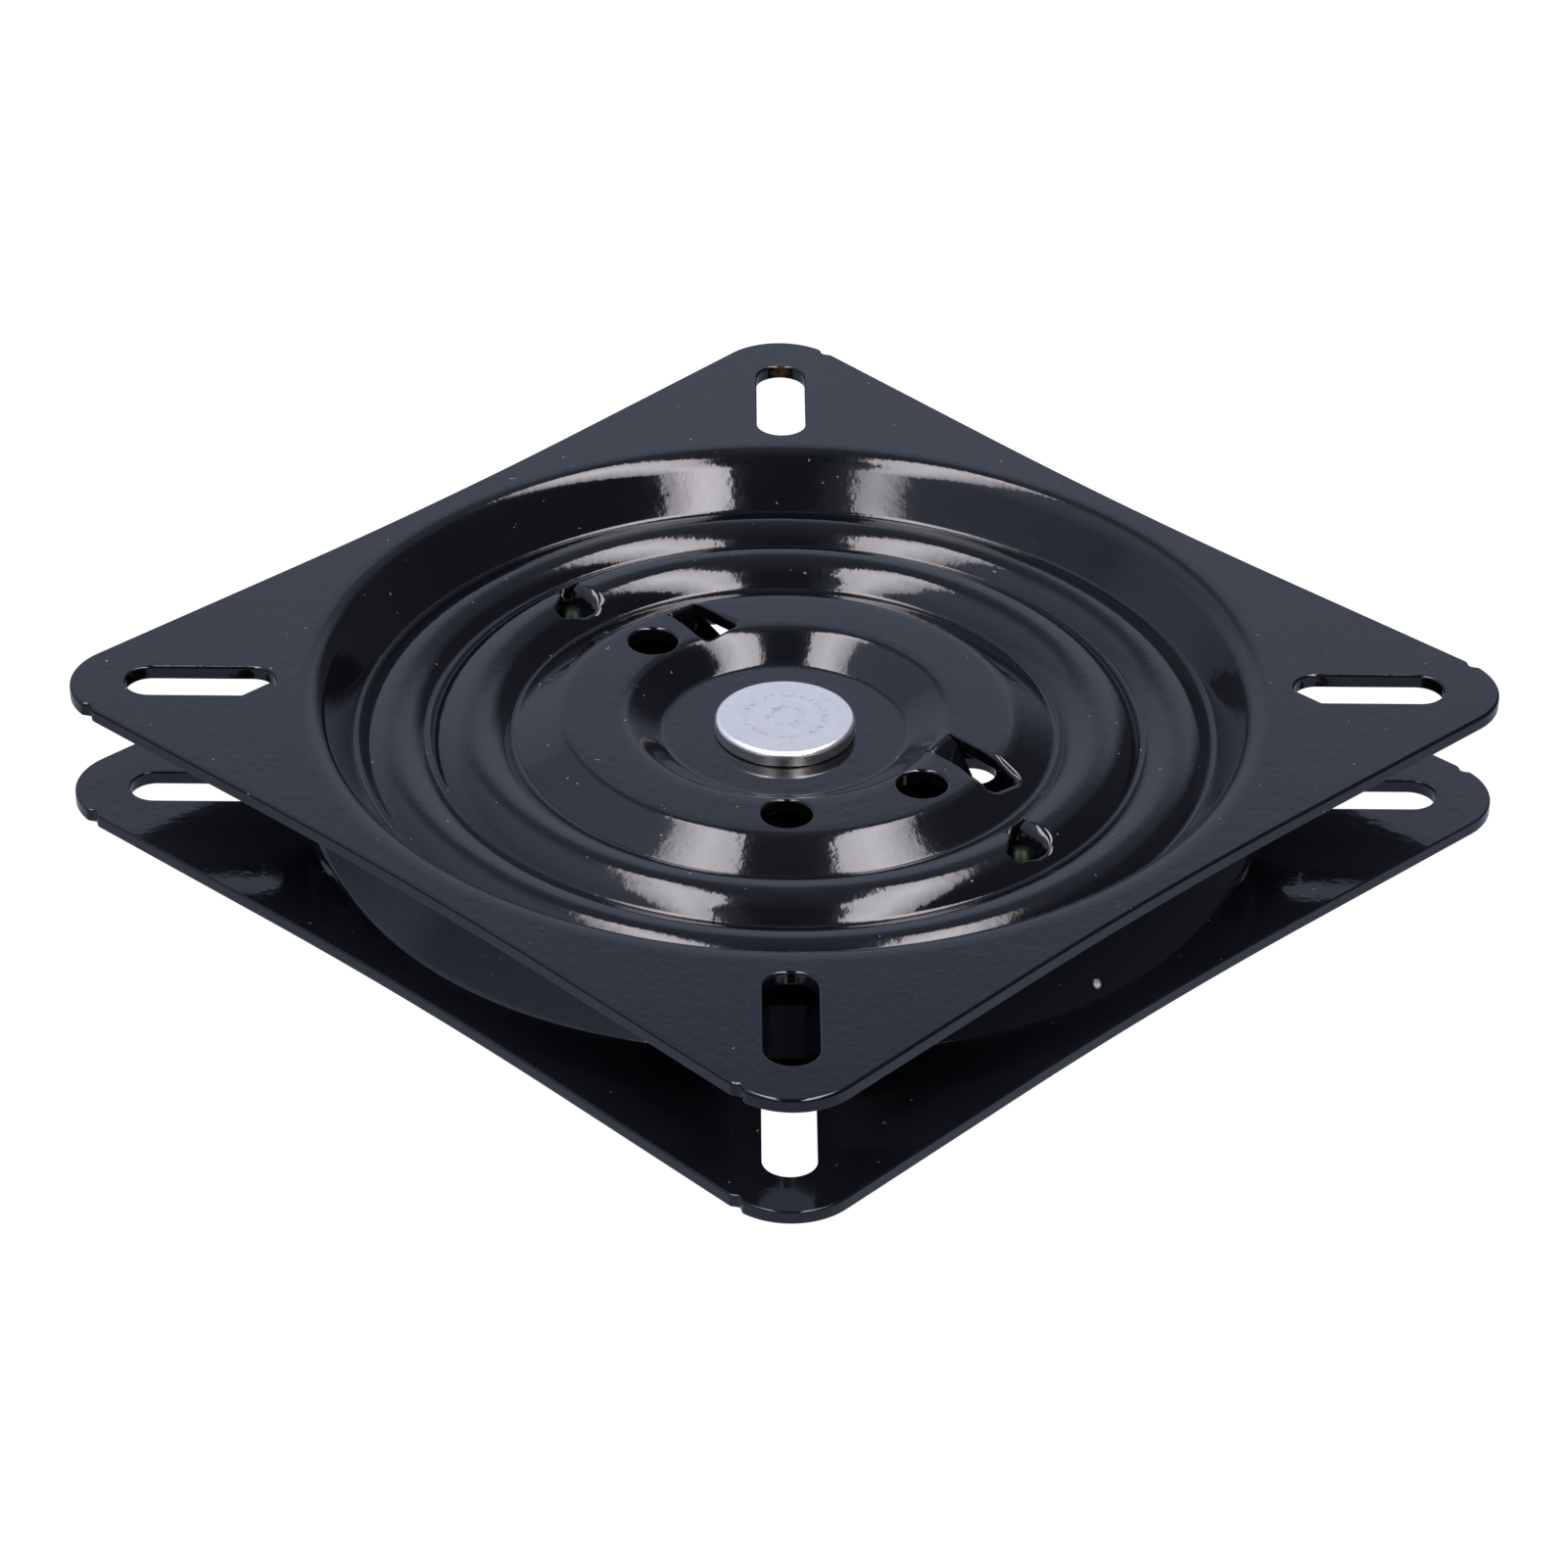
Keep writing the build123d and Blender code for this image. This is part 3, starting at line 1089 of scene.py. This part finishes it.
@dataclass(frozen=True)
class ZincPlate:
    """Bright zinc plate: a satin, faintly blue metal with fine turned marks and two worn rings."""

    name: str
    colour: Colour = (0.985, 0.955, 0.915)
    dull_colour: Colour = (0.94, 0.91, 0.87)
    roughness: float = 0.30
    haze: float = 0.03
    mark_colour: Colour = (0.50, 0.49, 0.46)
    marks: tuple[Span, ...] = ((0.0022, 0.0033), (0.0064, 0.0071))
    mark_edge: float = 0.0003
    mark_strength: float = 0.55
    head_middle: Point = (0.0, 0.0, 0.0174)
    turned_depth: float = 0.0000008
    grain_depth: float = 0.0000005

    def make(self) -> bpy.types.Material:
        """Lays out the plating.

        Returns:
            The material.
        """
        bench = NodeBench(bpy.data.materials.new(self.name))
        where, inputs = bench.place(), bench.shader.inputs
        clouds = bench.noise(where, scale=260.0, detail=5.0)
        colour = bench.ramp(clouds, (0.35, 0.65), self.dull_colour, self.colour)
        for inner, outer in self.marks:
            within = bench.spot(where, self.head_middle, outer, outer + self.mark_edge)
            beyond = bench.spot(where, self.head_middle, inner, inner - self.mark_edge)
            ring = bench.combine(Join.PRODUCT, within, beyond)
            worn = bench.mask(bench.noise(where, scale=1400.0, detail=2.0), (0.52, 0.60), self.mark_strength)
            colour = bench.blend(bench.combine(Join.PRODUCT, ring, worn), colour, self.mark_colour)
        bench.wire(colour, inputs["Base Color"])
        haze = bench.noise(where, scale=800.0, detail=4.0)
        smooth, rough = grey(self.roughness - self.haze), grey(self.roughness + self.haze)
        bench.wire(bench.ramp(haze, (0.3, 0.7), smooth, rough), inputs["Roughness"])
        rings = bench.node("ShaderNodeTexWave", wave_type="RINGS", rings_direction="Z")
        rings.inputs["Scale"].default_value = 260.0
        rings.inputs["Distortion"].default_value = 0.6
        bench.wire(where, rings.inputs["Vector"])
        marks = bench.bump(rings.outputs["Fac"], self.turned_depth)
        grain = bench.bump(bench.noise(where, scale=1500.0, detail=2.0), self.grain_depth, marks)
        bench.wire(grain, inputs["Normal"])
        inputs["Metallic"].default_value = 1.0
        return bench.owner


@dataclass(frozen=True)
class BallSteel:
    """Polished ball steel under a thin, greenish film of grease, its colour darkened to near black as painted
    shade of the dark ball channel.
    """

    name: str
    # Painted shade: the steel's colour is set near black to stand for the shade in the ball channel; the
    # green tint is the grease.
    colour: Colour = (0.014, 0.019, 0.0125)
    grease_and_shade_colour: Colour = (0.006, 0.010, 0.0055)
    roughness: float = 0.34

    def make(self) -> bpy.types.Material:
        """Lays out the steel.

        Returns:
            The material.
        """
        bench = NodeBench(bpy.data.materials.new(self.name))
        inputs = bench.shader.inputs
        film = bench.noise(bench.place(), scale=180.0, detail=3.0)
        bench.wire(bench.ramp(film, (0.4, 0.6), self.grease_and_shade_colour, self.colour), inputs["Base Color"])
        inputs["Metallic"].default_value = 1.0
        inputs["Roughness"].default_value = self.roughness
        return bench.owner


@dataclass(frozen=True)
class LightStrip:
    """A long soft light overhead, brightest along its middle and fading to its outer edge.

    Each row gives a place along the strip, its inner and outer edge there and its strength. Places are shares
    of the strip's height above the floor, from the middle of the part.
    """

    name: str
    rows: StripRows
    crest: float = 0.4
    shades: tuple[float, float, float] = (0.90, 1.15, 0.42)
    colour: Colour = (1.0, 0.955, 1.03)
    height: float = 3.0

    def build(self) -> bpy.types.Object:
        """A level band of faces whose points carry their strength, which the camera itself doesn't see.

        Returns:
            The strip.
        """
        along, inner, outer, strength = np.array(self.rows).T
        across = np.stack([inner, inner + self.crest * (outer - inner), outer], axis=1)
        spread = np.broadcast_to(along[:, None], across.shape)
        points = np.stack([across, spread, np.ones_like(across)], axis=2).reshape(-1, 3) * self.height
        first = (3 * np.arange(len(along) - 1)[:, None] + np.arange(2)).ravel()
        mesh = bpy.data.meshes.new(self.name)
        mesh.from_pydata(points.tolist(), [], np.c_[first, first + 1, first + 4, first + 3].tolist())
        glow = mesh.attributes.new("glow", "FLOAT", "POINT")
        glow.data.foreach_set("value", (strength[:, None] * np.array(self.shades)).ravel())
        bench = NodeBench(bpy.data.materials.new(self.name))
        bench.shader.inputs["Base Color"].default_value = (0.0, 0.0, 0.0, 1.0)
        bench.shader.inputs["Emission Color"].default_value = (*self.colour, 1.0)
        level = bench.node("ShaderNodeAttribute", attribute_name="glow")
        bench.wire(level.outputs["Fac"], bench.shader.inputs["Emission Strength"])
        mesh.materials.append(bench.owner)
        strip = bpy.data.objects.new(self.name, mesh)
        strip.visible_camera = False
        bpy.context.scene.collection.objects.link(strip)
        return strip


@dataclass
class Studio:
    """Pale floor, a pair of long soft lights overhead, a soft surround and the camera."""

    floor_half: float = 8.0
    floor_drop: float = 0.0002
    floor_glow: float = 1.0
    floor_shade: float = 0.06
    left_rows: StripRows = (
        (0.66, -0.12, -0.23, 7.0),
        (0.30, -0.10, -0.335, 9.5),
        (0.00, -0.14, -0.475, 9.5),
        (-0.30, -0.26, -0.53, 9.5),
        (-0.85, -0.345, -0.63, 7.5),
        (-1.45, -0.43, -0.73, 4.2),
    )
    right_rows: StripRows = (
        (0.66, 0.14, 0.29, 7.0),
        (0.30, 0.17, 0.43, 10.0),
        (0.00, 0.155, 0.51, 10.0),
        (-0.30, 0.22, 0.58, 10.0),
        (-1.45, 0.34, 0.74, 12.5),
    )
    sky_tint: Colour = (0.87, 0.99, 1.30)
    sky_stops: tuple[Span, ...] = (
        (0.0, 0.16),
        (6.0, 0.30),
        (13.0, 0.50),
        (24.0, 0.64),
        (30.5, 0.66),
        (32.2, 0.60),
        (37.0, 0.32),
        (43.0, 0.28),
        (50.0, 0.26),
        (66.0, 0.22),
        (90.0, 0.14),
    )
    left_climb: Span = (0.08, 0.95)
    dim_level: float = 0.09
    floor_bounce: float = 0.55
    camera_yaw: float = -1.008
    camera_place: Point = (0.0, -0.9006, 0.5796)
    camera_pitch: float = -32.594
    camera_roll: float = 0.948
    focal_pixels: float = 6390.0
    image_pixels: float = 1601.0

    def build(self) -> None:
        """Sets up floor, lights, surround and camera."""
        self.floor()
        LightStrip("left_strip", self.left_rows).build()
        LightStrip("right_strip", self.right_rows).build()
        self.surround()
        self.camera()
        bpy.context.scene.view_settings.view_transform = "Standard"
        LOG.info("studio set up")

    def floor(self) -> None:
        """A plain white floor that glows a little, as an overlit sweep does."""
        half = self.floor_half
        corners = [(-half, -half, 0), (half, -half, 0), (half, half, 0), (-half, half, 0)]
        mesh = bpy.data.meshes.new("floor")
        mesh.from_pydata(corners, [], [(0, 1, 2, 3)])
        bench = NodeBench(bpy.data.materials.new("floor_white"))
        inputs = bench.shader.inputs
        inputs["Base Color"].default_value = (*grey(self.floor_shade), 1.0)
        inputs["Roughness"].default_value = 1.0
        inputs["Specular IOR Level"].default_value = 0.0
        inputs["Emission Color"].default_value = (1.0, 1.0, 1.0, 1.0)
        inputs["Emission Strength"].default_value = self.floor_glow
        mesh.materials.append(bench.owner)
        floor = bpy.data.objects.new("floor", mesh)
        floor.location.z = -self.floor_drop
        floor.visible_glossy = False
        floor.visible_diffuse = False
        bpy.context.scene.collection.objects.link(floor)

    def surround(self) -> None:
        """A soft bluish surround: a climb on the left, a ramp by height behind, dim elsewhere.

        Its strength is the largest of the ramp behind, the climb on the left and the floor's bounce.
        """
        world = bpy.data.worlds.new("surround")
        bpy.context.scene.world = world
        bench = NodeBench(world)
        axes = bench.node("ShaderNodeSeparateXYZ")
        bench.wire(bench.node("ShaderNodeTexCoord").outputs["Generated"], axes.inputs["Vector"])
        right, back, up = axes.outputs
        sky = bench.node("ShaderNodeValToRGB")
        while len(sky.color_ramp.elements) < len(self.sky_stops):
            sky.color_ramp.elements.new(0.5)
        for stop, (elevation, level) in zip(sky.color_ramp.elements, self.sky_stops):
            stop.position = math.sin(math.radians(elevation))
            stop.color = (level, level, level, 1.0)
        bench.wire(up, sky.inputs["Fac"])
        rear = bench.remap(back, (-0.3, 0.2), ease=Ease.SOFT)
        clear = bench.remap(right, (0.58, 0.28), ease=Ease.SOFT)
        behind = bench.combine(Join.PRODUCT, bench.combine(Join.PRODUCT, rear, clear), sky.outputs["Color"])
        climb = bench.remap(up, (0.0, 1.0), self.left_climb)
        left = bench.combine(Join.PRODUCT, bench.remap(right, (0.0, -0.4), ease=Ease.SOFT), climb)
        below = bench.remap(up, (-0.2, -0.6), (self.dim_level, self.floor_bounce))
        level = bench.combine(Join.LARGER, bench.combine(Join.LARGER, behind, left), below)
        background = bench.tree.nodes["Background"]
        background.inputs["Color"].default_value = (*self.sky_tint, 1.0)
        bench.wire(level, background.inputs["Strength"])

    def camera(self) -> None:
        """The photograph's view: a long lens from the front, about a third of the way up."""
        data = bpy.data.cameras.new("camera")
        data.sensor_width = 36.0
        data.lens = self.focal_pixels / self.image_pixels * data.sensor_width
        data.clip_start, data.clip_end = 0.01, 50.0
        camera = bpy.data.objects.new("camera", data)
        turn = Matrix.Rotation(math.radians(self.camera_yaw), 4, "Z")
        tip = Matrix.Rotation(math.radians(90.0 + self.camera_pitch), 4, "X")
        roll = Matrix.Rotation(math.radians(self.camera_roll), 4, "Z")
        camera.matrix_world = turn @ Matrix.Translation(self.camera_place) @ tip @ roll
        bpy.context.scene.collection.objects.link(camera)
        bpy.context.scene.camera = camera


@dataclass
class SwivelPlate:
    """The whole swivel: top plate on the seat's body, bottom plate and rivet on the base's, balls between."""

    height: float = 23.7
    window_across: float = 11.7
    window_along: float = 33.3
    window_length: float = 13.0
    window_width: float = 6.2
    back_window_width: float = 6.6
    keeper_angle: float = 88.0
    keeper_opening: float = 11.2
    keeper_shift: float = 2.0
    keeper_offset: float = 1.7
    pilot_circle: float = 31.95
    pilot_radius: float = 4.2
    pilot_roll: float = 0.5
    section: DishSection = field(default_factory=DishSection)

    def windows(self) -> list[Lance]:
        """The top plate's two windows: a steep, short tab on the back one, a long, soft one on the front.

        Returns:
            The back window and the front one.
        """
        back, front = self.back_window_width / 2, self.window_width / 2
        far = -self.window_along - self.window_length / 2
        return [
            Lance(
                hinge=(self.window_across - 0.4, self.window_along + 3.4),
                heading=-90.0,
                opening=self.window_length - 2.2,
                tongue=1.7,
                drop_angle=74.0,
                bend=0.8,
                left=(back - 0.4, back),
                right=(back - 0.2, back + 0.9),
                end_roll=0.5,
            ),
            Lance(
                hinge=(self.window_across, far + self.window_length + 2.6),
                heading=-90.0,
                opening=self.window_length + 2.6,
                tongue=6.3,
                drop_angle=52.0,
                bend=3.5,
                left=(front, front),
                right=(front, front),
                end_roll=1.4,
            ),
        ]

    def keepers(self) -> list[Lance]:
        """The two tongues bent down into the ball channel from the ball bead, hinged at their right ends.

        Returns:
            One lance on each side of the plate.
        """
        made = []
        for side in (1, -1):
            middle = math.radians(side * self.keeper_angle)
            radius, half = self.section.ball_circle, self.keeper_opening / 2 - self.keeper_shift
            start = np.array([
                radius * math.cos(middle) + half * abs(math.sin(middle)),
                radius * math.sin(middle) - side * half * math.cos(middle) - self.keeper_offset,
            ])
            made.append(
                Lance(
                    hinge=tuple(start),
                    heading=180.0 + side * (self.keeper_angle - 90.0),
                    opening=self.keeper_opening - 1.2,
                    tongue=3.2,
                    drop_angle=64.0,
                    bend=2.6,
                    left=(2.6, 2.7),
                    right=(4.6, 0.4),
                    corner=1.0,
                    side_roll=1.7,
                    drawn_width=3.0,
                    drawn_margin=0.8,
                )
            )
        return made

    def pilot(self, angle: float) -> Rim:
        """A round pilot hole in the plateau.

        Args:
            angle: its place round the axis from the plate's own x axis, in degrees.

        Returns:
            The rim.
        """
        turn = math.radians(angle)
        x, y = self.pilot_circle * math.cos(turn), self.pilot_circle * math.sin(turn)
        return round_hole(x, y, self.pilot_radius, self.pilot_roll)

    def top_plate(self) -> PressedPlate:
        """The seat's plate, its show face up.

        Returns:
            The plate, ready to build.
        """
        return PressedPlate(
            name="top_plate_sheet",
            body="seat",
            place=np.array([[1, -1, 0], [1, 1, 0], [0, 0, math.sqrt(2)]]) / math.sqrt(2),
            origin=np.array([0.0, 0.0, self.height]),
            bore_radius=6.05,
            section=self.section,
            cut_outs=[self.pilot(90.0), self.pilot(-90.0), self.pilot(-135.0)],
            lances=[*self.windows(), *self.keepers()],
        )

    def bottom_plate(self) -> PressedPlate:
        """The base's plate, turned over so that its show face is underneath.

        Returns:
            The plate, ready to build.
        """
        sight_window = box_hole(x=-22.65, y=39.7, width=4.3, length=10.0, corner=1.2, roll=0.4)
        return PressedPlate(
            name="bottom_plate_sheet",
            body="base",
            place=np.array([[-1, -1, 0], [-1, 1, 0], [0, 0, -math.sqrt(2)]]) / math.sqrt(2),
            origin=np.zeros(3),
            bore_radius=6.02,
            section=self.section,
            cut_outs=[self.pilot(-132.3), sight_window],
        )

    def build(self) -> None:
        """Builds and dresses every piece in turn."""
        rust = WornSpot(centre=(0.0, 0.1112, 0.0222), radius=0.0022, colour=(0.07, 0.034, 0.016))
        top_paint = BlackPaint("gloss_black_top", worn=(rust,)).make()
        top = self.top_plate()
        top.dress(top.build(), top_paint)
        chip = WornSpot(centre=(0.0504, -0.0609, 0.0046), radius=0.0009, colour=(0.90, 0.90, 0.90))
        # Painted light: the bottom plate's paint is a lighter copy of the top plate's gloss black, lifting
        # the bottom plate's brightness.
        lit_bottom_paint = BlackPaint(
            "gloss_black_bottom_lit",
            colour=(0.0045, 0.0049, 0.0066),
            thin_colour=(0.0062, 0.0066, 0.0088),
            worn=(chip,),
        ).make()
        bottom = self.bottom_plate()
        bottom.dress(bottom.build(), lit_bottom_paint)
        rivet = CentreRivet()
        rivet.dress(rivet.build(), ZincPlate("bright_zinc").make())
        steel = BallSteel("ball_steel").make()
        for name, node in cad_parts.items():
            if name.startswith("ball_"):
                node.data.materials.clear()
                node.data.materials.append(steel)
        LOG.info("balls dressed")


def main() -> None:
    """Builds the part and the studio and reports each piece."""
    logging.basicConfig(level=logging.INFO, format="%(name)s %(message)s")
    SwivelPlate().build()
    Studio().build()


if __name__ == "__main__":
    main()
